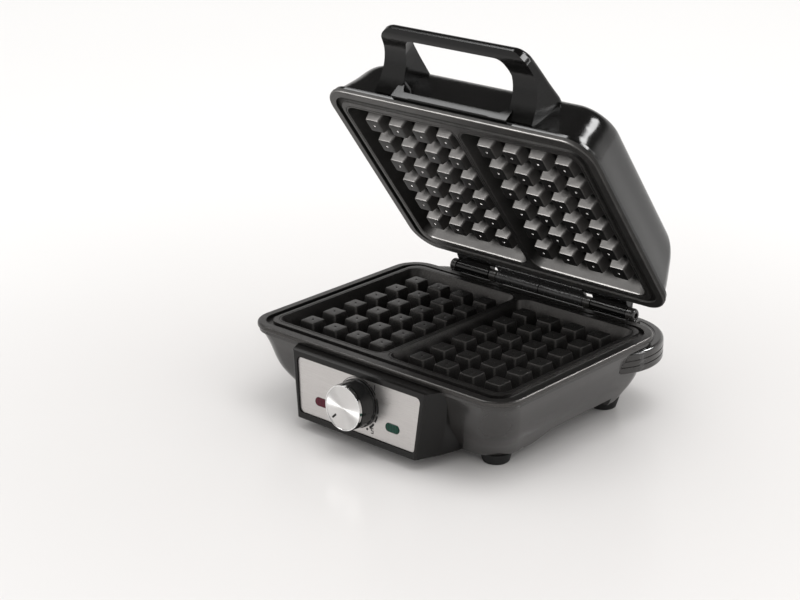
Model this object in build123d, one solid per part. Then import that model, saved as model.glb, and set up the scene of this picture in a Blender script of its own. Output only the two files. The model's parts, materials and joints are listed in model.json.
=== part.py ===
from build123d import *
import math
import os

os.makedirs("parts", exist_ok=True)

# ---------------------------------------------------------------- driving dimensions (mm)
W = 250.0            # rim width, left to right
D = 190.0            # rim depth, front to back
R_RIM = 22.0         # plan corner radius of the rim
ZR = 64.0            # rim top above the ground
GAP = 3.5            # gap between the two rims when the lid is shut
OPEN = 53.6          # how far the lid stands open at rest, degrees
YH = 201.0           # hinge axis behind the front edge of the rim
ZH = ZR              # hinge axis height
PITCH = 23.58        # pocket pitch of the grid
COL0 = 19.56         # first column of pegs from the centre line
ROWS, COLS = 6, 4
YG = 96.0            # centre of the grid, front to back
PEG_BASE, PEG_TOP, PEG_H = 17.0, 13.4, 11.6
DEPTH = 13.0         # cavity depth below the rim plane
LID_H = 45.0         # lid height above its own rim plane
WALL = 2.4
FOOT_H = 8.0
TILT = 3.4           # lean of the control panel, degrees
SHIFT_Y = -95.78     # moves the assembly so its footprint is centred on the origin
BARREL_R = 4.75
PIN_R = 2.2

# ---------------------------------------------------------------- helpers


def rrect(hx, y0, y1, r, z):
    return Plane(origin=(0, (y0 + y1) / 2, z)) * RectangleRounded(2 * hx, y1 - y0, r)


def slab(hx, y0, y1, r, z0, z1):
    return extrude(rrect(hx, y0, y1, r, z0), amount=z1 - z0, dir=(0, 0, 1))


def box(x0, x1, y0, y1, z0, z1):
    return Pos((x0 + x1) / 2, (y0 + y1) / 2, (z0 + z1) / 2) * Box(x1 - x0, y1 - y0, z1 - z0)


def cyl(x, y, z0, z1, r):
    return Pos(x, y, (z0 + z1) / 2) * Cylinder(r, z1 - z0)


def xcyl(x0, x1, y, z, r):
    return Pos((x0 + x1) / 2, y, z) * Rot(0, 90, 0) * Cylinder(r, x1 - x0)


def xprism(pts, x0, x1):
    """Polygon of (y, z) points pulled along x."""
    pl = Plane(origin=(x0, 0, 0), x_dir=(0, 1, 0), z_dir=(1, 0, 0))
    f = make_face(Polyline(*[(a, b) for a, b in pts], close=True))
    return extrude(pl * f, amount=x1 - x0)


def zprism(pts, z0, z1, r=0.0):
    f = make_face(Polyline(*[(a, b) for a, b in pts], close=True))
    if r:
        f = fillet(f.vertices(), r)
    return extrude(Pos(0, 0, z0) * f, amount=z1 - z0)


def group(items):
    out = []
    for it in items:
        out.extend(it.solids())
    return Compound(children=out)


PARTS = {}


def lid(shape):
    return shape.rotate(Axis((0, YH, ZH), (1, 0, 0)), -OPEN)


def keep(name, shape):
    PARTS[name] = shape


# ---------------------------------------------------------------- lower housing
LEVELS = [(-4.0, 2.2), (-10.0, 3.6), (-24.0, 8.0), (-38.0, 13.0), (-46.0, 18.0), (-52.0, 22.0), (-56.0, 25.0)]
REAR = 0.35


def bowl(extra, zlo, zhi):
    """Bowl-shaped solid of the base, walls moved in by extra."""
    secs = [rrect(125 - i - extra, i + extra, D - REAR * i - extra, R_RIM - extra, ZR + z) for z, i in LEVELS]
    s = loft([q.face() for q in secs])
    return s & box(-140, 140, -20, 220, ZR + zlo, ZR + zhi)


outer_full = bowl(0.0, -56.0, -4.0)
inner_full = bowl(WALL, -56.0, -4.0)

RIM_T = 4.0          # thickness of the plate's outer bead
rim = slab(125 - 1.3, 1.3, D - 1.3, R_RIM - 1.3, ZR - RIM_T - 2.6, ZR - RIM_T)
upper_wall = outer_full & box(-140, 140, -20, 220, ZR - 46, ZR - RIM_T)
housing = rim + upper_wall
housing -= slab(125 - 4.2, 4.2, D - 4.2, R_RIM - 4.2, ZR - 5.5, ZR + 1)
housing -= slab(125 - 10.5, 10.5, D - 10.5, R_RIM - 10.5, ZR - 8.0, ZR - 5.0)
housing -= inner_full & box(-140, 140, -20, 220, ZR - 46.5, ZR - 8.0)

SCREW_XY = [(98.0, 52.0), (-98.0, 52.0), (98.0, 140.0), (-98.0, 140.0)]
for sx, sy in SCREW_XY:
    s = 1 if sx > 0 else -1
    boss = cyl(sx, sy, ZR - 46, ZR - 29, 5.0)
    rib = box(min(sx, sx + s * 24), max(sx, sx + s * 24), sy - 1.5, sy + 1.5, ZR - 44, ZR - 29)
    housing += (boss + rib) & outer_full
    housing -= cyl(sx, sy, ZR - 47, ZR - 30, 1.7)

# window behind the control panel, opening for the supply cord
housing -= box(-50, 50, -4, 34, ZR - 42, ZR - 12)
CORD_X, CORD_Z = -62.0, ZR - 36.0
housing -= Pos(CORD_X, 184, CORD_Z) * Rot(90, 0, 0) * Cylinder(6.0, 30)

# ---------------------------------------------------------------- bottom cover with four leg blocks
cover = outer_full & box(-140, 140, -20, 220, ZR - 56, ZR - 46)
cover -= xprism([(56, ZR - 58), (64, ZR - 56), (70, ZR - 53), (79, ZR - 48), (152, ZR - 48), (155, ZR - 56), (156, ZR - 58)], -130, 130)
cover -= box(-66, 66, -20, 220, ZR - 58, ZR - 48)
FEET = [(87.0, 40.0), (-87.0, 40.0), (87.0, 168.0), (-87.0, 168.0)]
for sx, sy in SCREW_XY:
    cover -= cyl(sx, sy, ZR - 58, ZR - 45, 2.0)
    if sy < 90:
        cover -= cyl(sx, sy, ZR - 58, ZR - 48, 4.0)
for fx, fy in FEET:
    cover -= cyl(fx, fy, ZR - 57, ZR - 51, 1.6)
for k in range(9):
    cover -= Pos(0, 66 + 7.5 * k, ZR - 47) * Box(70, 2.4, 6)
keep("bottom_cover", cover)

cover_screws = []
for sx, sy in SCREW_XY:
    cover_screws.append(cyl(sx, sy, ZR - 48.0, ZR - 30, 1.7) + cyl(sx, sy, ZR - 50.2, ZR - 48.0, 3.4) - box(sx - 3.6, sx + 3.6, sy - 0.5, sy + 0.5, ZR - 50.3, ZR - 49.2))
keep("bottom_cover_screws", group(cover_screws))

front_feet, rear_feet, foot_screws = [], [], []
for fx, fy in FEET:
    prof = Pos(fx, fy, 0) * Cone(9.6, 12.0, FOOT_H, align=(Align.CENTER, Align.CENTER, Align.MIN))
    prof = fillet(prof.edges().group_by(Axis.Z)[0], 1.2)
    prof -= cyl(fx, fy, -1, 3.5, 4.6)
    prof -= cyl(fx, fy, 3.0, FOOT_H + 1, 1.6)
    (front_feet if fy < 90 else rear_feet).append(prof)
    foot_screws.append(cyl(fx, fy, 3.5, 18.0 - 8 + 3.0, 1.6) + cyl(fx, fy, 1.6, 3.5, 3.6) - box(fx - 0.5, fx + 0.5, fy - 4, fy + 4, 1.4, 2.4))
keep("front_feet", group(front_feet))
keep("rear_feet", group(rear_feet))
keep("foot_screws", group(foot_screws))

# ---------------------------------------------------------------- grid plate, cavities up


def cavity(s):
    zf, zt = ZR - DEPTH, ZR + 0.5
    f = Plane(origin=(s * 55.0, YG, zf)) * RectangleRounded(98.0, 146.0, 6.0)
    t = Plane(origin=(s * 55.95, YG, zt)) * RectangleRounded(107.6, 158.4, 9.5)
    return loft([f.face(), t.face()], ruled=True)


def make_plate():
    p = slab(125, 0, D, R_RIM, ZR - RIM_T, ZR)
    p = fillet(p.edges().filter_by_position(Axis.Z, ZR - 0.01, ZR + 0.01), 1.5)
    p = fillet(p.edges().filter_by_position(Axis.Z, ZR - RIM_T - 0.01, ZR - RIM_T + 0.01), 1.0)
    p -= slab(125 - 6.5, 6.5, D - 6.5, R_RIM - 6.5, ZR - 2.5, ZR + 1)
    p += slab(125 - 4.4, 4.4, D - 4.4, R_RIM - 4.4, ZR - 5.5, ZR - 2.5)
    p += slab(113.4, 11.6, D - 9.6 - 0.0, 11.0, ZR - 5.5, ZR)
    p += slab(110.0, 17.0, 175.0, 12.0, ZR - 16.0, ZR - 5.5)
    for s in (-1, 1):
        ring = Plane(origin=(s * 55.95, YG, ZR - 0.6)) * (RectangleRounded(110.6, 161.4, 11.0) - RectangleRounded(109.2, 160.0, 10.2))
        p -= extrude(ring, amount=1.0)
    p -= cavity(-1)
    p -= cavity(1)
    zb, zt = ZR - DEPTH - 0.5, ZR - DEPTH + PEG_H
    secs = [(zb, PEG_BASE, 2.0), (zt - 0.9, PEG_TOP, 1.6), (zt - 0.25, PEG_TOP - 0.55, 1.4), (zt, PEG_TOP - 1.8, 1.0)]
    one = loft([(Plane(origin=(0, 0, z)) * RectangleRounded(q, q, r)).face() for z, q, r in secs], ruled=True)
    one -= cyl(0, 0, ZR - DEPTH + PEG_H - 0.7, ZR, 0.9)
    pegs = []
    for s in (-1, 1):
        for c in range(COLS):
            for r in range(ROWS):
                pegs.append(Pos(s * (COL0 + c * PITCH), YG + (r - (ROWS - 1) / 2) * PITCH, 0) * one)
    p = p.fuse(*pegs) if hasattr(p, "fuse") else p + pegs
    for sx in (-1, 1):
        for sy in (-1, 1):
            p = p + cyl(sx * 54.9, YG + sy * 62, ZR - 26.8, ZR - 15.9, 5.0)
            p = p - cyl(sx * 54.9, YG + sy * 62, ZR - 27, ZR - 19, 1.8)
    return p


plate = make_plate()
ZM = ZR + GAP / 2


def up(shape):
    """Mirror a base-side piece into the shut lid."""
    return mirror(shape, about=Plane(origin=(0, 0, ZM), z_dir=(0, 0, 1)))


keep("lower_plate", plate)
keep("upper_plate", lid(up(plate)))

# heater loop under each plate, ends turned away from the plate
zh = ZR - 19.3
pts = [(-10, 30, zh - 12), (-10, 30, zh), (-95, 30, zh), (-95, 162, zh), (95, 162, zh), (95, 30, zh), (10, 30, zh), (10, 30, zh - 12)]
pts = [(-10, 46, zh), (-10, 50, zh), (-10, 52, zh)][:0] + [(-10, 44, zh), (-84, 44, zh), (-84, 150, zh), (84, 150, zh), (84, 44, zh), (10, 44, zh)]
path = FilletPolyline(*pts, radius=14)
heater = sweep(Plane(origin=path @ 0, z_dir=path % 0) * Circle(3.2), path=path)
for s in (-1, 1):
    heater += Pos(s * 8.0, 44, zh) * Rot(0, 90, 0) * Cylinder(1.5, 6.0)
    heater += box(s * 5.0 - 0.5, s * 5.0 + 0.5, 41.0, 47.0, zh - 6.0, zh + 1.6)
keep("lower_heater", heater)
keep("upper_heater", lid(up(heater)))

shield = slab(104, 24, 168, 12, ZR - 27.6, ZR - 17.0) - slab(103.2, 24.8, 167.2, 11.2, ZR - 26.8, ZR - 16.0)
for sx in (-1, 1):
    for sy in (-1, 1):
        shield -= cyl(sx * 54.9, YG + sy * 62, ZR - 29, ZR - 26, 1.9)
shield -= box(-9, 9, 38, 50, ZR - 28, ZR - 26)
keep("lower_heat_shield", shield)
keep("upper_heat_shield", lid(up(shield)))

pscrews = []
for sx in (-1, 1):
    for sy in (-1, 1):
        x, y = sx * 54.9, YG + sy * 62
        pscrews.append(cyl(x, y, ZR - 27.6, ZR - 20, 1.8) + cyl(x, y, ZR - 29.8, ZR - 27.6, 3.6) - box(x - 4, x + 4, y - 0.5, y + 0.5, ZR - 30, ZR - 28.8))
pscrews = group(pscrews)
keep("lower_plate_screws", pscrews)
keep("upper_plate_screws", lid(up(pscrews)))

fuse = xcyl(-14, 14, 120, ZR - 31.4, 3.2) + xcyl(-26, -14, 120, ZR - 31.4, 0.8) + xcyl(14, 26, 120, ZR - 31.4, 0.8)
fuse += box(-4, 4, 114, 126, ZR - 28.6, ZR - 27.6) + box(-4, 4, 122.8, 126, ZR - 32.0, ZR - 28.0)
keep("lower_thermal_fuse", fuse)
keep("upper_thermal_fuse", lid(up(fuse)))

# ---------------------------------------------------------------- control panel
t = math.radians(TILT)
PF = Plane(origin=(0, -12.0, ZR - 29.75), x_dir=(1, 0, 0), z_dir=(0, -math.cos(t), math.sin(t)))


def pf(w):
    return PF.offset(w)


def polyface(pts, z):
    return Pos(0, 0, z) * make_face(Polyline(*pts, close=True))


def sym(right):
    return right + [(-a, b) for a, b in reversed(right)]


top = sym([(64.5, -10.5), (72.3, 6.0), (75.0, 20.0), (76.0, 40.0)])
bot = sym([(57.5, -13.5), (65.3, 5.0), (69.0, 20.0), (70.0, 40.0)])
frame_body = loft([polyface(top, ZR - 4.5).face(), polyface(bot, ZR - 55.0).face()], ruled=True)
frame_body = fillet([e for e in frame_body.edges() if e.center().Y < -8 and abs(e.center().X) > 30 and abs(e.center().Z - (ZR - 29.7)) < 5], 2.0)
frame_body -= rim
frame_body -= outer_full
ti = sym([(61.5, -6.0), (69.3, 6.0), (72.0, 20.0), (73.0, 45.0)])
bi = sym([(54.5, -9.0), (62.3, 5.0), (66.0, 20.0), (67.0, 45.0)])
frame_body -= loft([polyface(ti, ZR - 7.5).face(), polyface(bi, ZR - 52.5).face()], ruled=True)


def trapezoid(off, r):
    v1, v0 = 21.05 + off, -20.75 - off
    h1, h0 = 60.0 + off, 55.7 + off
    f = make_face(Polyline((-h0, v0), (h0, v0), (h1, v1), (-h1, v1), close=True))
    return fillet(f.vertices(), r)


frame_body -= extrude(pf(-2.0) * trapezoid(0.3, 3.8), amount=6.0)
KX, KV = 1.0, 1.7
LX, LV = 34.5, -8.3
hole = pf(-30) * Pos(KX, KV) * Circle(5.0)
frame_body -= extrude(hole, amount=40)
lens_slots = []
for s in (-1, 1):
    frame_body -= extrude(pf(-12) * Pos(s * LX, LV) * SlotOverall(13.3, 6.8), amount=20)
keep("control_panel_frame", frame_body)

fascia = extrude(pf(-2.0) * trapezoid(0.0, 3.5), amount=0.8)
fascia -= extrude(pf(-4) * Pos(KX, KV) * Circle(5.0), amount=8)
for s in (-1, 1):
    fascia -= extrude(pf(-4) * Pos(s * LX, LV) * SlotOverall(13.3, 6.8), amount=8)
keep("control_fascia", fascia)
FW = -1.2            # front face of the fascia, measured along the panel normal

for name, s in (("power_lamp", -1), ("ready_lamp", 1)):
    lens = extrude(pf(-6.6) * Pos(s * LX, LV) * SlotOverall(13.0, 6.5), amount=6.2)
    lens = fillet(lens.edges().sort_by(lambda e: -(e.center() - PF.origin).dot(PF.z_dir))[0:4], 0.7)
    lens += extrude(pf(-7.8) * Pos(s * LX, LV) * SlotOverall(16.0, 9.0), amount=1.2)
    keep(name + "_lens", lens)
    neon = extrude(pf(-12.5) * Pos(s * LX, LV) * RectangleRounded(12.0, 5.0, 2.3), amount=4.7)
    for q in (-2, 2):
        neon += extrude(pf(-17.0) * Pos(s * LX + q, LV) * Circle(0.5), amount=4.6)
    keep(name, neon)

# raised dial marks on the fascia: a scale that thickens clockwise, an end dot, the numbers 1 and 5


def arc_mark(a0, a1, r, w):
    """Band between two clock angles (degrees clockwise from straight up)."""
    pts_out, pts_in = [], []
    n = max(3, int((a1 - a0) / 4))
    for i in range(n + 1):
        f = i / n
        a = math.radians(a0 + (a1 - a0) * f)
        ww = w[0] + (w[1] - w[0]) * f
        pts_out.append((KX + (r + ww / 2) * math.sin(a), KV + (r + ww / 2) * math.cos(a)))
        pts_in.append((KX + (r - ww / 2) * math.sin(a), KV + (r - ww / 2) * math.cos(a)))
    return make_face(Polyline(*(pts_out + pts_in[::-1]), close=True))


marks = [
    arc_mark(-58, 27, 18.95, (0.35, 0.6)),
    arc_mark(37, 58, 19.1, (0.7, 0.95)),
    arc_mark(66, 100, 19.3, (0.95, 1.3)),
    arc_mark(105, 121, 19.5, (1.3, 1.55)),
    arc_mark(127, 143, 19.7, (1.6, 1.9)),
]
mark_solids = [extrude(pf(FW) * m, amount=0.12) for m in marks]


def stick(x0, y0, x1, y1):
    return make_face(Polyline((x0, y0), (x1, y0), (x1, y1), (x0, y1), close=True))


def digit(cx, cy, segs, h=4.2, w=2.4, t_=0.55):
    out = None
    table = {
        "top": (cx - w / 2, cy + h / 2 - t_, cx + w / 2, cy + h / 2),
        "mid": (cx - w / 2, cy - t_ / 2, cx + w / 2, cy + t_ / 2),
        "bot": (cx - w / 2, cy - h / 2, cx + w / 2, cy - h / 2 + t_),
        "ul": (cx - w / 2, cy, cx - w / 2 + t_, cy + h / 2),
        "ur": (cx + w / 2 - t_, cy, cx + w / 2, cy + h / 2),
        "ll": (cx - w / 2, cy - h / 2, cx - w / 2 + t_, cy),
        "lr": (cx + w / 2 - t_, cy - h / 2, cx + w / 2, cy),
    }
    for g in segs:
        f = stick(*table[g])
        out = f if out is None else out + f
    return out


mark_solids.append(extrude(pf(FW) * digit(KX + 14.6, KV + 15.6, ("ur", "lr")), amount=0.12))
mark_solids.append(extrude(pf(FW) * digit(KX + 14.5, KV - 17.4, ("top", "mid", "bot", "ul", "lr")), amount=0.12))
mark_solids.append(extrude(pf(FW) * Pos(KX + 19.8 * math.sin(math.radians(151)), KV + 19.8 * math.cos(math.radians(151))) * Circle(0.9), amount=0.12))
mark_solids.append(extrude(pf(FW) * Pos(KX + 19.0 * math.sin(math.radians(32)), KV + 19.0 * math.cos(math.radians(32))) * Circle(0.45), amount=0.12))
keep("dial_markings", group(mark_solids))

# ---------------------------------------------------------------- thermostat behind the panel
bracket = extrude(pf(-7.6) * Pos(KX, KV) * RectangleRounded(44, 26, 3), amount=1.4)
bracket -= extrude(pf(-9) * Pos(KX, KV) * Circle(4.5), amount=4)
keep("thermostat_bracket", bracket)
tbody = extrude(pf(-21.6) * Pos(KX, KV) * RectangleRounded(34, 24, 2), amount=14.0)
tbody -= extrude(pf(-20.0) * Pos(KX, KV) * Circle(3.06), amount=14.0)
tbody += extrude(pf(-23.6) * Pos(KX - 11, KV) * RectangleRounded(6, 10, 1), amount=2.0)
tbody += extrude(pf(-23.6) * Pos(KX + 11, KV) * RectangleRounded(6, 10, 1), amount=2.0)
keep("thermostat_body", tbody)
housing -= extrude(pf(-30) * Pos(KX, KV) * RectangleRounded(48, 30, 3), amount=30)

shaft = extrude(pf(-19.4) * Pos(KX, KV) * Circle(3.0), amount=31.4)
shaft -= extrude(pf(1.0) * Pos(KX, KV + 3.6) * Rectangle(8, 3.6), amount=14.0)
keep("thermostat_shaft", shaft)

# ---------------------------------------------------------------- knob
kb = extrude(pf(FW + 0.6) * Pos(KX, KV) * Circle(18.0), amount=1.6)
kb += extrude(pf(FW + 2.2) * Pos(KX, KV) * Circle(17.4), amount=10.8, taper=2.0)
kb += extrude(pf(FW + 13.0) * Pos(KX, KV) * Circle(15.6), amount=2.0)
kb -= extrude(pf(FW + 0.4) * Pos(KX, KV) * (Circle(15.6) - Circle(5.6)), amount=12.4)
kb -= shaft
KTOP = FW + 15.0
keep("knob_body", kb)
ring = extrude(pf(FW + 13.7) * Pos(KX, KV) * (Circle(16.7) - Circle(15.9)), amount=2.6)
ring = fillet(ring.edges().sort_by(lambda e: -(e.center() - PF.origin).dot(PF.z_dir))[0:2], 0.3)
keep("knob_ring", ring)
cap = extrude(pf(KTOP) * Pos(KX, KV) * Circle(15.85), amount=0.9)
pa = math.radians(225)
px_, py_ = KX + 11.2 * math.sin(pa), KV + 11.2 * math.cos(pa)
pointer_face = Pos(px_, py_) * Rot(0, 0, -225) * RectangleRounded(1.5, 4.6, 0.3)
cap -= extrude(pf(KTOP + 0.5) * pointer_face, amount=2)
keep("knob_cap", cap)
keep("knob_pointer", extrude(pf(KTOP + 0.5) * pointer_face, amount=0.55))

# ---------------------------------------------------------------- rear wing, cord entry
WING_R, WING_X, WING_Y = 46.0, 81.0, 172.0
wing = Pos(0, WING_Y, ZR - 24.0) * extrude(SlotOverall(2 * (WING_X + WING_R), 2 * WING_R), amount=16.5)
wing = fillet(wing.edges().group_by(Axis.Z)[-1], 2.6)
wing = fillet(wing.edges().group_by(Axis.Z)[0], 2.0)
for zg in (-18.6, -14.0):
    wing -= Pos(0, WING_Y, ZR + zg) * extrude(SlotOverall(2 * (WING_X + WING_R) + 8, 2 * WING_R + 8) - SlotOverall(2 * (WING_X + WING_R) - 1.4, 2 * WING_R - 1.4), amount=0.8)
wing -= Pos(0, WING_Y, ZR - 8.1) * extrude(SlotOverall(2 * (WING_X + WING_R) - 12, 2 * WING_R - 12) - SlotOverall(2 * (WING_X + WING_R) - 14.4, 2 * WING_R - 14.4), amount=2)
wing -= outer_full
wing -= box(-118, 118, 0, D - 9, ZR - 60, ZR)
wing -= slab(125 - 12, 12, D - 12, R_RIM - 12, ZR - 60, ZR)
wing = sorted(wing.solids(), key=lambda q: -q.volume)[0]
keep("rear_wing", wing)
keep("lower_housing", housing)

gland = Pos(CORD_X, 181.0, CORD_Z) * Rot(90, 0, 0) * Cylinder(6.0, 16.0)
gland += Pos(CORD_X, 190.4, CORD_Z) * Rot(90, 0, 0) * Cylinder(8.0, 6.0)
gland += Pos(CORD_X, 197.4, CORD_Z) * Rot(90, 0, 0) * Cone(6.6, 5.2, 8.0)
gland -= outer_full - inner_full - Pos(CORD_X, 184, CORD_Z) * Rot(90, 0, 0) * Cylinder(6.0, 60)
gland -= Pos(CORD_X, 186, CORD_Z) * Rot(90, 0, 0) * Cylinder(3.6, 60)
keep("cord_gland", gland)

tb = box(-84, -52, 138, 150, ZR - 45.9 + 0.0, ZR - 34.0)
for k in range(3):
    tb -= cyl(-78 + 10 * k, 144, ZR - 38, ZR - 33, 2.2)
keep("terminal_block", tb)

# ---------------------------------------------------------------- hinge
# base brackets: a short barrel next to the long ones and a low outer ear; the lid's arms turn between them
EAR_R = 5.4
for name, s in (("left", -1), ("right", 1)):
    c, d = sorted((s * 43.5, s * 50.0))
    lug = xcyl(c, d, YH, ZH, BARREL_R)
    c, d = sorted((s * 84.6, s * 91.0))
    ear = xcyl(c, d, YH, ZH, EAR_R)
    ear = fillet(ear.edges().filter_by(GeomType.CIRCLE).sort_by(lambda e: -abs(e.center().X))[0:1], 2.4)
    lug = lug + ear
    for u, v in ((44.0, 49.5), (85.0, 89.0)):
        c, d = sorted((s * u, s * v))
        lug += box(c, d, YH - 3.4, YH + 3.4, ZR - 6.0, ZR)
    c, d = sorted((s * 43.5, s * 91.0))
    plate_foot = box(c, d, YH - 4.5, YH + 8.0, ZR - 7.5, ZR - 5.6)
    lug += fillet(plate_foot.edges().filter_by(Axis.Z), 3.0)
    lug -= xcyl(-92, 92, YH, ZH, PIN_R)
    keep("hinge_bracket_" + name, lug)
keep("hinge_pin", xcyl(-88.4, 88.4, YH, ZH, PIN_R))

ZL = ZR + GAP
for name, s in (("left", -1), ("right", 1)):
    a, b = sorted((s * 0.3, s * 43.0))
    kn = xcyl(a, b, YH, ZH, BARREL_R)
    kn += box(a, b, D, YH - 2.0, ZR + 2.4, ZR + 4.7)
    kn += box(a, b, D, D + 1.6, ZL, ZL + 4.6)
    kn -= xcyl(-60, 60, YH, ZH, PIN_R + 0.06)
    keep("lid_knuckle_" + name, lid(kn))
    a, b = sorted((s * 51.0, s * 84.0))
    arm = xcyl(a, b, YH, ZH, 4.9)
    arm += xprism([(D, ZL), (D, ZL + 13.0), (D + 5.5, ZL + 9.0), (YH + 3.6, ZH + 3.3), (YH + 1.0, ZH - 1.0), (YH - 4.0, ZH + 2.0)], a, b)
    c, d = sorted((s * 43.4, s * 51.5))
    arm += box(c, d, D, D + 4.4, ZL, ZL + 9.0)
    for k in range(3):
        c = s * (58.5 + 9.0 * k)
        arm -= box(c - 3.4, c + 3.4, D + 2.4, D + 7.6, ZL + 3.4, ZL + 16)
    arm -= xcyl(-90, 90, YH, ZH, PIN_R + 0.06)
    keep("lid_hinge_arm_" + name, lid(arm))

# ---------------------------------------------------------------- lid shell (modelled shut)
LSEC = [(3.5, 1.9, 1.9), (14.0, 3.6, 3.0), (26.0, 6.6, 7.5), (36.0, 9.0, 13.5), (41.5, 12.2, 18.5), (44.2, 17.0, 24.0), (LID_H, 24.0, 32.0)]


def dome(extra, drop):
    secs = [rrect(125 - i - extra, i + extra, D - j - extra, 24 - extra, ZL + h - (drop if h > 30 else 0)) for h, i, j in LSEC]
    return loft([q.face() for q in secs])


lid_rim = slab(125 - 0.9, 0.9, D - 0.9, R_RIM - 0.9, ZL + RIM_T, ZL + RIM_T + 2.4)
lid_outer = (lid_rim + dome(0.0, 0.0)) & box(-140, 140, -20, 220, ZL + RIM_T, ZL + 60)
shell = lid_outer - dome(2.4, 2.4)
shell -= slab(125 - 4.2, 4.2, D - 4.2, R_RIM - 4.2, ZL + 3.0, ZL + 5.5)
ledge = slab(125 - 3.6, 3.6, D - 3.6, R_RIM - 3.6, ZL + 5.5, ZL + 7.5) - slab(125 - 10.5, 10.5, D - 10.5, R_RIM - 10.5, ZL + 5, ZL + 8)
shell += ledge & lid_outer

# ---------------------------------------------------------------- handle (modelled shut)
HZ = ZL
low = [(-38.6, 34.0), (-33.0, 32.9), (-27.0, 32.6), (-22.0, 31.8), (-18.0, 30.3), (-14.0, 28.0), (-10.0, 24.4), (-6.0, 19.4), (-2.6, 13.4), (-0.2, 7.4)]
edge = Polyline((24, HZ + 6.0), (24, HZ + 42.0), (-41.4, HZ + 42.0), (-41.4, HZ + 36.0), (-38.6, HZ + 34.0))
edge += Spline(*[(q, HZ + w) for q, w in low]) + Line((-0.2, HZ + 7.4), (24, HZ + 6.0))
hraw = extrude(Plane(origin=(-80, 0, 0), x_dir=(0, 1, 0), z_dir=(1, 0, 0)) * make_face(edge), amount=160)
plan = [(75.5, 24), (75.5, 6), (74.0, 0), (72.4, -8), (71.2, -16), (69.8, -24), (66.4, -41.4), (-66.4, -41.4), (-69.8, -24), (-71.2, -16), (-72.4, -8), (-74.0, 0), (-75.5, 6), (-75.5, 24)]
outline = make_face(Polyline(*plan, close=True))
outline = fillet([v for v in outline.vertices() if v.Y < -40], 13.0)
hraw &= extrude(Pos(0, 0, HZ - 5) * outline, amount=60)
hraw = fillet([e for e in hraw.edges() if e.bounding_box().min.Z > HZ + 41.9 and e.center().Y < 23], 4.6)
gap_pts = [(-44.0, -33.4), (44.0, -33.4), (49.6, -20.0), (50.4, -8.0), (50.6, 30), (-50.6, 30), (-50.4, -8.0), (-49.6, -20.0)]
gap_f = make_face(Polyline(*gap_pts, close=True))
gap_f = fillet([v for v in gap_f.vertices() if v.Y < -30], 8.0)
hraw -= extrude(Pos(0, 0, HZ - 5) * gap_f, amount=60)
strip = box(-52, 52, -3.2, 10, HZ + 4.6, HZ + 10.4)
strip = fillet(strip.edges().filter_by(Axis.X), 0.8)
for s in (-1, 1):
    tri = make_face(ThreePointArc((s * 37.0, HZ + 4.6), (s * 45.6, HZ + 10.4), (s * 50.6, HZ + 21.5)) + Polyline((s * 50.6, HZ + 21.5), (s * 54.0, HZ + 21.5), (s * 54.0, HZ + 4.6), (s * 37.0, HZ + 4.6)))
    strip += extrude(Plane(origin=(0, 8.0, 0), x_dir=(1, 0, 0), z_dir=(0, -1, 0)) * tri, amount=11.2)
handle = hraw + strip
handle = handle - lid_outer
if len(handle.solids()) > 1:
    handle = Part() + sorted(handle.solids(), key=lambda q: -q.volume)[0]
hs, hscrews = [], []
for s in (-1, 1):
    for hh in (16.0, 30.0):
        ax = Pos(s * 62.2, 8.0, HZ + hh) * Rot(90, 0, 0)
        hscrews.append((ax * Cylinder(1.3, 30.0)) & box(-90, 90, -3.0, 12.0, HZ, HZ + 44))
        hscrews[-1] += Pos(s * 62.2, 13.2, HZ + hh) * Rot(90, 0, 0) * Cylinder(3.4, 2.4)
        shell -= hscrews[-1]
        handle -= hscrews[-1]
keep("lid_shell", lid(shell))
keep("handle", lid(handle))
keep("handle_screws", lid(group(hscrews)))

# ---------------------------------------------------------------- write every part
move = Pos(0, SHIFT_Y, 0)
lo, hi = [1e9] * 3, [-1e9] * 3
for name, shape in PARTS.items():
    s = move * shape
    bb = s.bounding_box()
    for i, (a, b) in enumerate(zip((bb.min.X, bb.min.Y, bb.min.Z), (bb.max.X, bb.max.Y, bb.max.Z))):
        lo[i], hi[i] = min(lo[i], a), max(hi[i], b)
    ok = s.is_valid() if callable(s.is_valid) else s.is_valid
    print(f"{name:24s} valid {ok} solids {len(s.solids()):3d} vol {s.volume:11.1f} y {bb.min.Y:8.2f} {bb.max.Y:8.2f} z {bb.min.Z:8.2f} {bb.max.Z:8.2f}")
    export_step(s, f"parts/{name}.step")
print("box", [round(v, 2) for v in lo], [round(v, 2) for v in hi], "parts", len(PARTS))
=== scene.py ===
import bpy
import json
import math
from mathutils import Vector, Matrix

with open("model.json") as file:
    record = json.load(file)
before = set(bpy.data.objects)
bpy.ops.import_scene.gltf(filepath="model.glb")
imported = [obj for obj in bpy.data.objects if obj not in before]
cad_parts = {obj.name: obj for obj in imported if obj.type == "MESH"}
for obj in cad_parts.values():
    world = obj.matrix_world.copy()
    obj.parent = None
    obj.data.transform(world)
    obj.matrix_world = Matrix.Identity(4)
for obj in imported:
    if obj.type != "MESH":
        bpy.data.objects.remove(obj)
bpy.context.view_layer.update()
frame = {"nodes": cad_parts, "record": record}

NODES = frame["nodes"]
SHIFT_Y = -0.09578      # front edge of the rim
ZR = 0.064              # rim top
HINGE = (0.0, SHIFT_Y + 0.201, ZR)
OPEN = math.radians(53.6)


# ------------------------------------------------------------------ material helpers
def new_mat(name):
    m = bpy.data.materials.new(name)
    m.use_nodes = True
    nt = m.node_tree
    nt.nodes.clear()
    out = nt.nodes.new("ShaderNodeOutputMaterial")
    b = nt.nodes.new("ShaderNodeBsdfPrincipled")
    nt.links.new(b.outputs[0], out.inputs[0])
    return m, nt, b


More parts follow.
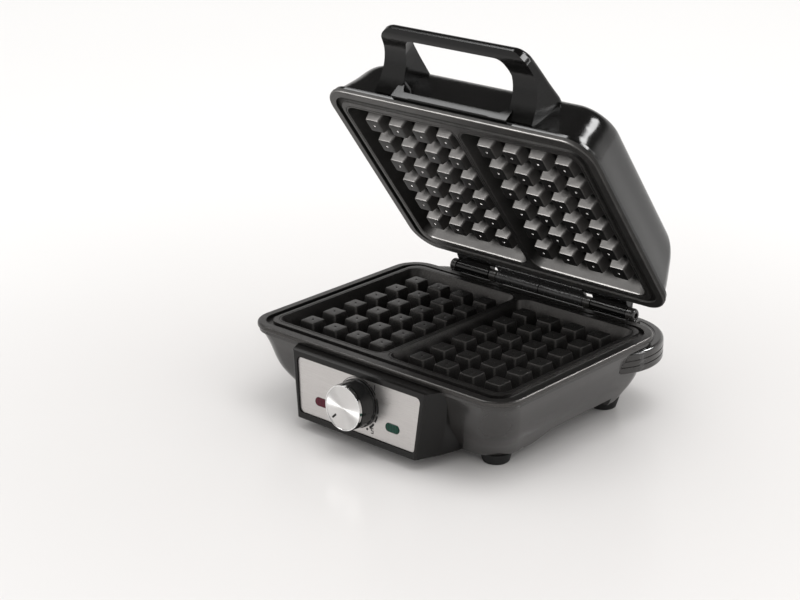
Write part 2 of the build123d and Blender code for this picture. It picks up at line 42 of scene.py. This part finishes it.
def coords(nt, scale=(1, 1, 1), rot=(0, 0, 0)):
    tc = nt.nodes.new("ShaderNodeTexCoord")
    mp = nt.nodes.new("ShaderNodeMapping")
    mp.inputs["Scale"].default_value = scale
    mp.inputs["Rotation"].default_value = rot
    nt.links.new(tc.outputs["Object"], mp.inputs["Vector"])
    return mp.outputs["Vector"]


def noise(nt, vec, scale, detail=4.0, rough=0.55):
    n = nt.nodes.new("ShaderNodeTexNoise")
    n.inputs["Scale"].default_value = scale
    n.inputs["Detail"].default_value = detail
    n.inputs["Roughness"].default_value = rough
    nt.links.new(vec, n.inputs["Vector"])
    return n.outputs["Fac"]


def ramp(nt, fac, stops):
    r = nt.nodes.new("ShaderNodeValToRGB")
    el = r.color_ramp.elements
    while len(el) < len(stops):
        el.new(0.5)
    for e, (p, c) in zip(el, stops):
        e.position = p
        e.color = (c[0], c[1], c[2], 1.0)
    nt.links.new(fac, r.inputs["Fac"])
    return r.outputs["Color"]


def maprange(nt, fac, a, b, c, d):
    m = nt.nodes.new("ShaderNodeMapRange")
    m.inputs["From Min"].default_value = a
    m.inputs["From Max"].default_value = b
    m.inputs["To Min"].default_value = c
    m.inputs["To Max"].default_value = d
    nt.links.new(fac, m.inputs["Value"])
    return m.outputs["Result"]


def bump(nt, bsdf, height, strength, dist, normal=None):
    bn = nt.nodes.new("ShaderNodeBump")
    bn.inputs["Strength"].default_value = strength
    bn.inputs["Distance"].default_value = dist
    nt.links.new(height, bn.inputs["Height"])
    if normal is not None:
        nt.links.new(normal, bn.inputs["Normal"])
    if bsdf is not None:
        nt.links.new(bn.outputs["Normal"], bsdf.inputs["Normal"])
    return bn.outputs["Normal"]


def plastic(name, c0, c1, r0, r1, grain=2600.0, gstr=0.12, coat=0.0, coat_r=0.08, spec=0.5, wave=0.0):
    m, nt, b = new_mat(name)
    v = coords(nt)
    n1 = noise(nt, v, 38.0, 3.0)
    nt.links.new(ramp(nt, n1, [(0.3, c0), (0.7, c1)]), b.inputs["Base Color"])
    n2 = noise(nt, v, 420.0, 3.0)
    nt.links.new(maprange(nt, n2, 0.3, 0.7, r0, r1), b.inputs["Roughness"])
    b.inputs["Specular IOR Level"].default_value = spec
    b.inputs["Coat Weight"].default_value = coat
    b.inputs["Coat Roughness"].default_value = coat_r
    nrm = None
    if wave:
        nrm = bump(nt, None, noise(nt, v, 22.0, 1.0), wave, 0.002)
    bump(nt, b, noise(nt, v, grain, 2.0), gstr, 0.0002, nrm)
    return m


def coated(name, c0, c1, r0, r1):
    """Dark non-stick coating on cast metal: fine speckle, satin sheen, faint casting texture."""
    m, nt, b = new_mat(name)
    v = coords(nt)
    big = noise(nt, v, 60.0, 4.0)
    fine = noise(nt, v, 3200.0, 2.0, 0.7)
    base = ramp(nt, big, [(0.32, c0), (0.68, c1)])
    speck = ramp(nt, fine, [(0.52, (0, 0, 0)), (0.74, (0.16, 0.155, 0.15))])
    add = nt.nodes.new("ShaderNodeMix")
    add.data_type = "RGBA"
    add.blend_type = "ADD"
    add.inputs["Factor"].default_value = 1.0
    nt.links.new(base, add.inputs[6])
    nt.links.new(speck, add.inputs[7])
    nt.links.new(add.outputs[2], b.inputs["Base Color"])
    nt.links.new(maprange(nt, fine, 0.35, 0.7, r0, r1), b.inputs["Roughness"])
    b.inputs["Metallic"].default_value = 0.9
    n0 = bump(nt, None, noise(nt, v, 260.0, 3.0), 0.10, 0.0006)
    bump(nt, b, fine, 0.22, 0.00025, n0)
    return m


def step(nt, val, a, b):
    """0 below a, 1 above b, smooth between."""
    m = nt.nodes.new("ShaderNodeMapRange")
    m.interpolation_type = "SMOOTHSTEP"
    m.inputs["From Min"].default_value = a
    m.inputs["From Max"].default_value = b
    nt.links.new(val, m.inputs["Value"])
    return m.outputs["Result"]


def arith(nt, op, a, b=None):
    m = nt.nodes.new("ShaderNodeMath")
    m.operation = op
    for i, v in enumerate((a, b)):
        if v is None:
            continue
        if isinstance(v, (int, float)):
            m.inputs[i].default_value = v
        else:
            nt.links.new(v, m.inputs[i])
    return m.outputs[0]


def mixcol(nt, fac, a, b):
    m = nt.nodes.new("ShaderNodeMix")
    m.data_type = "RGBA"
    nt.links.new(fac, m.inputs["Factor"])
    nt.links.new(a, m.inputs[6])
    nt.links.new(b, m.inputs[7])
    return m.outputs[2]


def coated_painted_light_zones():
    """Coating of the lid's plate with painted light and shade: peg flanks painted lighter as a painted highlight, peg
    tops, pocket floors and side walls painted darker as painted shade.
    """
    m, nt, b = new_mat("coated_plate_lid")
    v = coords(nt)
    sep = nt.nodes.new("ShaderNodeSeparateXYZ")
    nt.links.new(v, sep.inputs[0])
    dots = []
    for axis in ((0.0, math.cos(OPEN), -math.sin(OPEN)), (0.0, math.sin(OPEN), math.cos(OPEN))):
        sb = nt.nodes.new("ShaderNodeVectorMath")
        sb.operation = "SUBTRACT"
        sb.inputs[1].default_value = HINGE
        nt.links.new(v, sb.inputs[0])
        d = nt.nodes.new("ShaderNodeVectorMath")
        d.operation = "DOT_PRODUCT"
        d.inputs[1].default_value = axis
        nt.links.new(sb.outputs["Vector"], d.inputs[0])
        dots.append(d.outputs["Value"])
    ys = arith(nt, "ADD", dots[0], 0.105)
    yc = arith(nt, "ABSOLUTE", ys)
    h = arith(nt, "SUBTRACT", dots[1], 0.0035)
    ax = arith(nt, "ABSOLUTE", sep.outputs["X"])
    inside = arith(nt, "SUBTRACT", 1.0, step(nt, yc, 0.0690, 0.0712))
    inside = arith(nt, "MULTIPLY", inside, step(nt, ax, 0.0088, 0.0102))
    inside = arith(nt, "MULTIPLY", inside, arith(nt, "SUBTRACT", 1.0, step(nt, ax, 0.0995, 0.1010)))
    deep = step(nt, h, 0.0007, 0.0011)
    flank = arith(nt, "MULTIPLY", step(nt, h, 0.00150, 0.00172), arith(nt, "SUBTRACT", 1.0, step(nt, h, 0.0100, 0.0122)))
    big = noise(nt, v, 60.0, 4.0)
    fine = noise(nt, v, 3200.0, 2.0, 0.7)
    rimc = ramp(nt, big, [(0.32, (0.050, 0.048, 0.0465)), (0.68, (0.066, 0.0635, 0.061))])
    # painted highlight: peg flank colour, lighter than the coating
    flank_lit_col = ramp(nt, big, [(0.32, FLANK_PAINTED_LIGHT[0]), (0.68, FLANK_PAINTED_LIGHT[1])])
    # painted shade: peg tops and pocket floors darker than the coating
    shade_col = ramp(nt, big, [(0.32, (0.018, 0.0175, 0.017)), (0.68, (0.026, 0.025, 0.0245))])
    # painted shade: side-wall colour darker than the coating
    wall_shade_col = ramp(nt, big, [(0.32, WALL_PAINTED_SHADE[0]), (0.68, WALL_PAINTED_SHADE[1])])
    peg = mixcol(nt, flank, shade_col, flank_lit_col)
    cav = mixcol(nt, inside, wall_shade_col, peg)
    base = mixcol(nt, deep, rimc, cav)
    # painted highlight: small bright spot in the middle of every peg, standing in for the glint in each dimple
    pitch = 0.02358
    fx = arith(nt, "SUBTRACT", arith(nt, "FRACT", arith(nt, "ADD", arith(nt, "DIVIDE", arith(nt, "SUBTRACT", ax, 0.01956), pitch), 0.5)), 0.5)
    fy = arith(nt, "SUBTRACT", arith(nt, "FRACT", arith(nt, "DIVIDE", ys, pitch)), 0.5)
    r2 = arith(nt, "ADD", arith(nt, "MULTIPLY", fx, fx), arith(nt, "MULTIPLY", fy, fy))
    rad = arith(nt, "MULTIPLY", arith(nt, "SQRT", r2), pitch)
    glint_mask = arith(nt, "SUBTRACT", 1.0, step(nt, rad, 0.00085, 0.00100))
    glint_mask = arith(nt, "MULTIPLY", glint_mask, step(nt, h, 0.00142, 0.00155))
    glint_mask = arith(nt, "MULTIPLY", glint_mask, arith(nt, "SUBTRACT", 1.0, step(nt, h, 0.0030, 0.0040)))
    glint_mask = arith(nt, "MULTIPLY", glint_mask, inside)
    # painted highlight colour for the dimple glint
    glint_col = ramp(nt, big, [(0.32, (0.66, 0.65, 0.64)), (0.68, (0.78, 0.77, 0.76))])
    base = mixcol(nt, glint_mask, base, glint_col)
    speck = ramp(nt, fine, [(0.54, (0, 0, 0)), (0.76, (0.09, 0.088, 0.085))])
    add = nt.nodes.new("ShaderNodeMix")
    add.data_type = "RGBA"
    add.blend_type = "ADD"
    add.inputs["Factor"].default_value = 1.0
    nt.links.new(base, add.inputs[6])
    nt.links.new(speck, add.inputs[7])
    nt.links.new(add.outputs[2], b.inputs["Base Color"])
    wallness = arith(nt, "MULTIPLY", deep, arith(nt, "SUBTRACT", 1.0, inside))
    rr = arith(nt, "ADD", maprange(nt, fine, 0.35, 0.7, 0.38, 0.48), arith(nt, "MULTIPLY", wallness, 0.26))
    rr = arith(nt, "ADD", rr, arith(nt, "MULTIPLY", arith(nt, "MULTIPLY", inside, flank), 0.08))
    nt.links.new(rr, b.inputs["Roughness"])
    b.inputs["Metallic"].default_value = 0.9
    n0 = bump(nt, None, noise(nt, v, 260.0, 3.0), 0.08, 0.0006)
    bump(nt, b, fine, 0.18, 0.00025, n0)
    return m


# painted light and shade colours: lighter peg flanks (painted highlight) and darker side walls (painted shade)
FLANK_PAINTED_LIGHT = ((0.095, 0.091, 0.088), (0.125, 0.120, 0.116))
WALL_PAINTED_SHADE = ((0.034, 0.0327, 0.0315), (0.046, 0.0443, 0.0427))


def metal(name, c0, c1, r0, r1, stretch, scale, bstr=0.15, aniso=0.0, metallic=1.0):
    """Metal with fine parallel brush lines; stretch squeezes the noise along one axis."""
    m, nt, b = new_mat(name)
    v = coords(nt, stretch)
    n1 = noise(nt, v, scale, 6.0, 0.65)
    nt.links.new(ramp(nt, n1, [(0.3, c0), (0.7, c1)]), b.inputs["Base Color"])
    nt.links.new(maprange(nt, n1, 0.3, 0.7, r0, r1), b.inputs["Roughness"])
    b.inputs["Metallic"].default_value = metallic
    b.inputs["Anisotropic"].default_value = aniso
    bump(nt, b, n1, bstr, 0.0001)
    return m


def lens(name, dark, light):
    """Tinted translucent lens with faint moulded lines."""
    m, nt, b = new_mat(name)
    v = coords(nt)
    w = nt.nodes.new("ShaderNodeTexWave")
    w.inputs["Scale"].default_value = 210.0
    w.inputs["Distortion"].default_value = 0.6
    nt.links.new(v, w.inputs["Vector"])
    nt.links.new(ramp(nt, w.outputs["Fac"], [(0.15, dark), (0.85, light)]), b.inputs["Base Color"])
    nt.links.new(maprange(nt, noise(nt, v, 500.0), 0.3, 0.7, 0.06, 0.14), b.inputs["Roughness"])
    b.inputs["Specular IOR Level"].default_value = 0.25
    bump(nt, b, w.outputs["Fac"], 0.12, 0.0003)
    return m


MAT = {
    "housing_plastic": plastic("housing_plastic", (0.026, 0.0243, 0.0232), (0.0285, 0.0268, 0.0256), 0.155, 0.175, grain=1500.0, gstr=0.003, spec=0.6),
    "panel_plastic": plastic("panel_plastic", (0.0080, 0.0076, 0.0073), (0.0085, 0.0081, 0.0078), 0.17, 0.19, grain=1500.0, gstr=0.004, spec=0.26),
    "handle_gloss": plastic("handle_gloss", (0.0036, 0.0035, 0.0034), (0.0046, 0.0044, 0.0042), 0.12, 0.15, grain=1200.0, gstr=0.01, spec=0.26),
    "coated_plate_lid": coated_painted_light_zones(),
    "gloss_shell": plastic("gloss_shell", (0.0040, 0.0038, 0.0036), (0.0055, 0.0052, 0.0050), 0.14, 0.165, grain=1500.0, gstr=0.01, spec=0.45, wave=0.01),
    "coated_plate": coated("coated_plate", (0.046, 0.044, 0.0425), (0.060, 0.0575, 0.0555), 0.30, 0.40),
    "rubber": plastic("rubber", (0.010, 0.010, 0.010), (0.017, 0.017, 0.017), 0.55, 0.70, grain=1800.0, gstr=0.25, spec=0.3),
    "brushed_fascia": metal("brushed_fascia", (0.52, 0.50, 0.488), (0.66, 0.642, 0.63), 0.25, 0.38, (10.0, 1000.0, 1000.0), 5.0, 0.30, aniso=0.5),
    "bright_ring": metal("bright_ring", (0.80, 0.80, 0.80), (0.90, 0.90, 0.90), 0.08, 0.14, (300.0, 300.0, 300.0), 3.0, 0.04),
    "knob_plastic": plastic("knob_plastic", (0.010, 0.010, 0.010), (0.012, 0.0118, 0.0115), 0.17, 0.20, grain=1500.0, gstr=0.006, spec=0.5),
    "mark_black": plastic("mark_black", (0.008, 0.008, 0.008), (0.016, 0.016, 0.016), 0.45, 0.60, gstr=0.05, spec=0.4),
    "lens_red": lens("lens_red", (0.045, 0.0015, 0.008), (0.11, 0.004, 0.019)),
    "lens_green": lens("lens_green", (0.0004, 0.020, 0.013), (0.001, 0.060, 0.037)),
    "lamp_glass": plastic("lamp_glass", (0.60, 0.56, 0.50), (0.75, 0.70, 0.62), 0.08, 0.16, gstr=0.02),
    "heater_tube": metal("heater_tube", (0.20, 0.19, 0.18), (0.34, 0.32, 0.30), 0.40, 0.60, (200.0, 200.0, 200.0), 4.0, 0.2),
    "shield_steel": metal("shield_steel", (0.55, 0.55, 0.55), (0.68, 0.68, 0.68), 0.28, 0.42, (20.0, 500.0, 500.0), 4.0, 0.12),
    "shaft_brass": metal("shaft_brass", (0.62, 0.45, 0.20), (0.74, 0.56, 0.28), 0.22, 0.34, (400.0, 400.0, 30.0), 4.0, 0.1),
    "ceramic_white": plastic("ceramic_white", (0.66, 0.63, 0.58), (0.74, 0.72, 0.67), 0.45, 0.60, gstr=0.12),
    "pin_steel": metal("pin_steel", (0.42, 0.41, 0.40), (0.56, 0.55, 0.54), 0.20, 0.32, (30.0, 500.0, 500.0), 5.0, 0.12),
    "hinge_black": plastic("hinge_black", (0.016, 0.016, 0.016), (0.024, 0.023, 0.023), 0.24, 0.34, gstr=0.03, spec=0.6),
}


# ------------------------------------------------------------------ pieces: materials and softened edges
slot_of = {s["node"]: s["material_slot"] for s in frame["record"]["subparts"]}
BEVEL = {
    "lower_housing": 0.0004, "bottom_cover": 0.0006, "control_panel_frame": 0.0006, "handle": 0.0011, "lid_shell": 0.0004,
    "lower_plate": 0.00045, "upper_plate": 0.00045, "control_fascia": 0.00015, "rear_wing": 0.0006, "hinge_bracket_left": 0.0006,
    "hinge_bracket_right": 0.0006, "lid_knuckle_left": 0.0003, "lid_knuckle_right": 0.0003, "knob_body": 0.0003, "knob_cap": 0.00015,
    "knob_ring": 0.00015, "lid_hinge_arm_left": 0.0004, "lid_hinge_arm_right": 0.0004, "front_feet": 0.0006, "rear_feet": 0.0006, "power_lamp_lens": 0.0003, "ready_lamp_lens": 0.0003,
}
for name, ob in NODES.items():
    slot = slot_of[name]
    key = {"control_panel_frame": "panel_plastic", "handle": "handle_gloss", "upper_plate": "coated_plate_lid"}.get(name, slot)
    if key in MAT:
        ob.data.materials.clear()
        ob.data.materials.append(MAT[key])
    for p in ob.data.polygons:
        p.use_smooth = True
    w = ob.modifiers.new("weld", "WELD")
    w.merge_threshold = 2e-6
    if name in BEVEL:
        bv = ob.modifiers.new("bevel", "BEVEL")
        bv.width = BEVEL[name]
        bv.segments = 2
        bv.limit_method = "ANGLE"
        bv.angle_limit = math.radians(28)
        bv.use_clamp_overlap = True
        bv.miter_outer = "MITER_SHARP"
    wn = ob.modifiers.new("wn", "WEIGHTED_NORMAL")
    wn.keep_sharp = False
    wn.weight = 60

# spun knob face: fine rings around the knob's own centre, so the highlights fan out
tilt = math.radians(3.4)
n = Vector((0, -math.cos(tilt), math.sin(tilt)))
upv = Vector((0, math.sin(tilt), math.cos(tilt)))
kc = Vector((0.001, SHIFT_Y - 0.012, ZR - 0.02975)) + upv * 0.0017
m, nt, b = new_mat("turned_cap")
tc = nt.nodes.new("ShaderNodeTexCoord")
sub = nt.nodes.new("ShaderNodeVectorMath")
sub.operation = "SUBTRACT"
sub.inputs[1].default_value = kc
nt.links.new(tc.outputs["Object"], sub.inputs[0])
ln = nt.nodes.new("ShaderNodeVectorMath")
ln.operation = "LENGTH"
nt.links.new(sub.outputs["Vector"], ln.inputs[0])
comb = nt.nodes.new("ShaderNodeCombineXYZ")
nt.links.new(ln.outputs["Value"], comb.inputs[0])
rings = noise(nt, comb.outputs[0], 5200.0, 3.0, 0.6)
nt.links.new(ramp(nt, rings, [(0.3, (0.74, 0.73, 0.72)), (0.7, (0.86, 0.85, 0.84))]), b.inputs["Base Color"])
nt.links.new(maprange(nt, rings, 0.3, 0.7, 0.42, 0.48), b.inputs["Roughness"])
b.inputs["Metallic"].default_value = 1.0
b.inputs["Anisotropic"].default_value = 0.95
cr = nt.nodes.new("ShaderNodeVectorMath")
cr.operation = "CROSS_PRODUCT"
cr.inputs[1].default_value = n
nt.links.new(sub.outputs["Vector"], cr.inputs[0])
nm = nt.nodes.new("ShaderNodeVectorMath")
nm.operation = "NORMALIZE"
nt.links.new(cr.outputs["Vector"], nm.inputs[0])
nt.links.new(nm.outputs["Vector"], b.inputs["Tangent"])
bump(nt, b, rings, 0.02, 0.00003)
NODES["knob_cap"].data.materials.clear()
NODES["knob_cap"].data.materials.append(m)

# ------------------------------------------------------------------ floor, light, camera
fm, nt, b = new_mat("floor_white")
v = coords(nt)
# painted shade: floor colour darker within about 0.22 m of the appliance, blending to the lighter far colour by 0.72 m
floor_shade_col = ramp(nt, noise(nt, v, 3.0, 2.0), [(0.3, (0.830, 0.815, 0.806)), (0.7, (0.842, 0.828, 0.818))])
floor_far_col = ramp(nt, noise(nt, v, 2.0, 2.0), [(0.3, (0.945, 0.943, 0.94)), (0.7, (0.955, 0.953, 0.95))])
fo = nt.nodes.new("ShaderNodeVectorMath")
fo.operation = "ADD"
fo.inputs[1].default_value = (0.0, 2.0, 0.0)
nt.links.new(v, fo.inputs[0])
fl = nt.nodes.new("ShaderNodeVectorMath")
fl.operation = "LENGTH"
nt.links.new(fo.outputs["Vector"], fl.inputs[0])
nt.links.new(mixcol(nt, step(nt, fl.outputs["Value"], 0.22, 0.72), floor_shade_col, floor_far_col), b.inputs["Base Color"])
b.inputs["Roughness"].default_value = 0.22
b.inputs["Specular IOR Level"].default_value = 0.35
bpy.ops.mesh.primitive_plane_add(size=14.0, location=(0, 2.0, 0))
floor = bpy.context.object
floor.name = "floor"
floor.data.materials.append(fm)

w = bpy.data.worlds.new("studio")
bpy.context.scene.world = w
w.use_nodes = True
wt = w.node_tree
wt.nodes.clear()
wo = wt.nodes.new("ShaderNodeOutputWorld")
fill = wt.nodes.new("ShaderNodeBackground")
fill.inputs["Color"].default_value = (1.0, 0.99, 0.982, 1)
fill.inputs["Strength"].default_value = 0.99
sky = wt.nodes.new("ShaderNodeBackground")
tcw = wt.nodes.new("ShaderNodeTexCoord")
sepw = wt.nodes.new("ShaderNodeSeparateXYZ")
wt.links.new(tcw.outputs["Generated"], sepw.inputs[0])
rw = wt.nodes.new("ShaderNodeValToRGB")
els = rw.color_ramp.elements
els[0].position, els[0].color = 0.30, (1.0, 0.985, 0.97, 1)
els[1].position, els[1].color = 0.52, (0.09, 0.088, 0.086, 1)
wt.links.new(sepw.outputs["Z"], rw.inputs["Fac"])
wt.links.new(rw.outputs["Color"], sky.inputs["Color"])
sky.inputs["Strength"].default_value = 0.95
lp = wt.nodes.new("ShaderNodeLightPath")
mixw = wt.nodes.new("ShaderNodeMixShader")
wt.links.new(lp.outputs["Is Glossy Ray"], mixw.inputs[0])
wt.links.new(fill.outputs[0], mixw.inputs[1])
wt.links.new(sky.outputs[0], mixw.inputs[2])
wt.links.new(mixw.outputs[0], wo.inputs[0])


def area(name, loc, target, size, power, size_y=None, color=(1, 1, 1)):
    d = bpy.data.lights.new(name, "AREA")
    d.energy = power
    d.color = color
    d.shape = "RECTANGLE" if size_y else "SQUARE"
    d.size = size
    if size_y:
        d.size_y = size_y
    o = bpy.data.objects.new(name, d)
    bpy.context.scene.collection.objects.link(o)
    o.location = loc
    dirv = Vector(target) - Vector(loc)
    o.rotation_euler = dirv.to_track_quat("-Z", "Y").to_euler()
    return o


key = area("key_left_top", (-0.80, -0.30, 1.48), (0, 0.08, 0.15), 0.72, 13.0, 0.72)
key.visible_diffuse = False
low = area("low_front_left", (-0.86, -1.50, 0.82), (0, 0.08, 0.18), 0.8, 120.0, 0.8)
low.visible_diffuse = False
plates = bpy.data.collections.new("grid_plate")
plates.objects.link(NODES["upper_plate"])
low.light_linking.receiver_collection = plates
top = area("top_soft", (0.3, 0.2, 1.9), (0, 0.0, 0.1), 1.2, 9.0, 1.2)
top.visible_glossy = False
strip = area("right_strip", (1.35, 0.75, 0.95), (0.1, 0.05, 0.2), 0.22, 6.0, 0.9)
strip.visible_diffuse = False
corner = area("corner_box", (1.05, 0.22, 1.32), (0.1, 0.0, 0.2), 0.50, 24.0, 0.80)
corner.visible_diffuse = False
shells = bpy.data.collections.new("lid_pieces")
for q in ("lid_shell", "handle"):
    shells.objects.link(NODES[q])
corner.light_linking.receiver_collection = shells
corner2 = area("corner_box_high", (0.46, 0.64, 1.28), (0.1, 0.0, 0.2), 0.36, 6.5, 0.36)
corner2.visible_diffuse = False
corner2.light_linking.receiver_collection = shells
edge = area("rim_right", (0.62, 1.06, 0.99), (0.1, 0.0, 0.06), 0.30, 16.0, 0.30)
edge.visible_diffuse = False
bases = bpy.data.collections.new("base_pieces")
for q in ("lower_plate", "lower_housing", "rear_wing", "control_panel_frame"):
    bases.objects.link(NODES[q])
edge.light_linking.receiver_collection = bases
fan = area("cap_fan", (-0.70, -1.06, 0.42), (0, -0.12, 0.04), 0.16, 3.0, 0.16)
fan.visible_diffuse = False
caps = bpy.data.collections.new("knob_face")
caps.objects.link(NODES["knob_cap"])
fan.light_linking.receiver_collection = caps

cam_d = bpy.data.cameras.new("cam")
cam_d.sensor_width = 36.0
cam_d.lens = 85.347
cam_d.shift_x = -0.03345
cam_d.shift_y = -0.03311
cam_d.clip_end = 50.0
cam = bpy.data.objects.new("cam", cam_d)
bpy.context.scene.collection.objects.link(cam)
cam.location = (0.8575, SHIFT_Y - 0.9121, ZR + 0.5117)
cam.rotation_euler = (math.radians(90 - 19.588), 0.0, math.radians(41.281))
bpy.context.scene.camera = cam
bpy.context.scene.view_settings.view_transform = "Standard"
